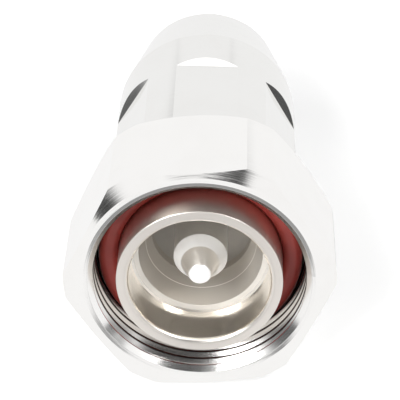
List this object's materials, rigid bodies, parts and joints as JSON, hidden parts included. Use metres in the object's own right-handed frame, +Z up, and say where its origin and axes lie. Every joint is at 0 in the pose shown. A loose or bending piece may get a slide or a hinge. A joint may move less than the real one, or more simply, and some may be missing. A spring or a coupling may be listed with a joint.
{
  "type": "large din coaxial connector",
  "caption": "Straight coaxial cable plug with a hexagon coupling nut, contact tube, thick centre pin, red front gasket and a screwed cable clamp at the rear.",
  "frame": {"origin": "middle of the footprint on the surface that the plug lies on", "axes": "+Z up; the plug's axis lies along Y with the mating end towards -Y and raised by 6.3 degrees, as the plug rests on a flat of the coupling nut and the clamp nut's band"},
  "size_m": [0.035, 0.0588, 0.0334],
  "materials": {
    "nickel": "bright nickel plate on brass",
    "contact_plate": "white bronze plate, satin",
    "silver": "silver plate, polished",
    "bare_brass": "turned",
    "spring_steel": "ground",
    "red_silicone": "matt",
    "black_rubber": "matt",
    "ptfe": "waxy"
  },
  "bodies": {
    "plug": {"plug_body": "contact_plate", "centre_pin": "silver", "front_bead": "ptfe", "spacer_sleeve": "bare_brass", "rear_bead": "ptfe", "contact_cone": "bare_brass", "front_gasket": "red_silicone", "snap_ring": "spring_steel", "nut_o_ring": "black_rubber", "body_o_ring": "black_rubber"},
    "coupling_nut": {"coupling_nut": "nickel"},
    "clamp_stack": {"thrust_washer": "spring_steel", "clamp_collet": "bare_brass", "cable_seal": "black_rubber"},
    "clamp_nut": {"clamp_nut": "nickel"}
  },
  "joints": [
    {"name": "coupling_spin", "type": "hinge", "parent": "plug", "child": "coupling_nut", "pos_m": [0, -0.01976, 0.01666], "axis": [0, 0.9939, -0.1102], "continuous": true},
    {"name": "clamp_travel", "type": "slide", "parent": "plug", "child": "clamp_stack", "axis": [0, 0.9939, -0.1102], "range_m": [0, 0.009]},
    {"name": "clamp_unscrew", "type": "hinge", "parent": "clamp_stack", "child": "clamp_nut", "pos_m": [0, 0.00807, 0.01358], "axis": [0, 0.9939, -0.1102], "range_deg": [0, 3240]}
  ],
  "couplings": [
    {"joint": "clamp_unscrew", "follows": "clamp_travel", "rad_per_m": 6283.2}
  ]
}
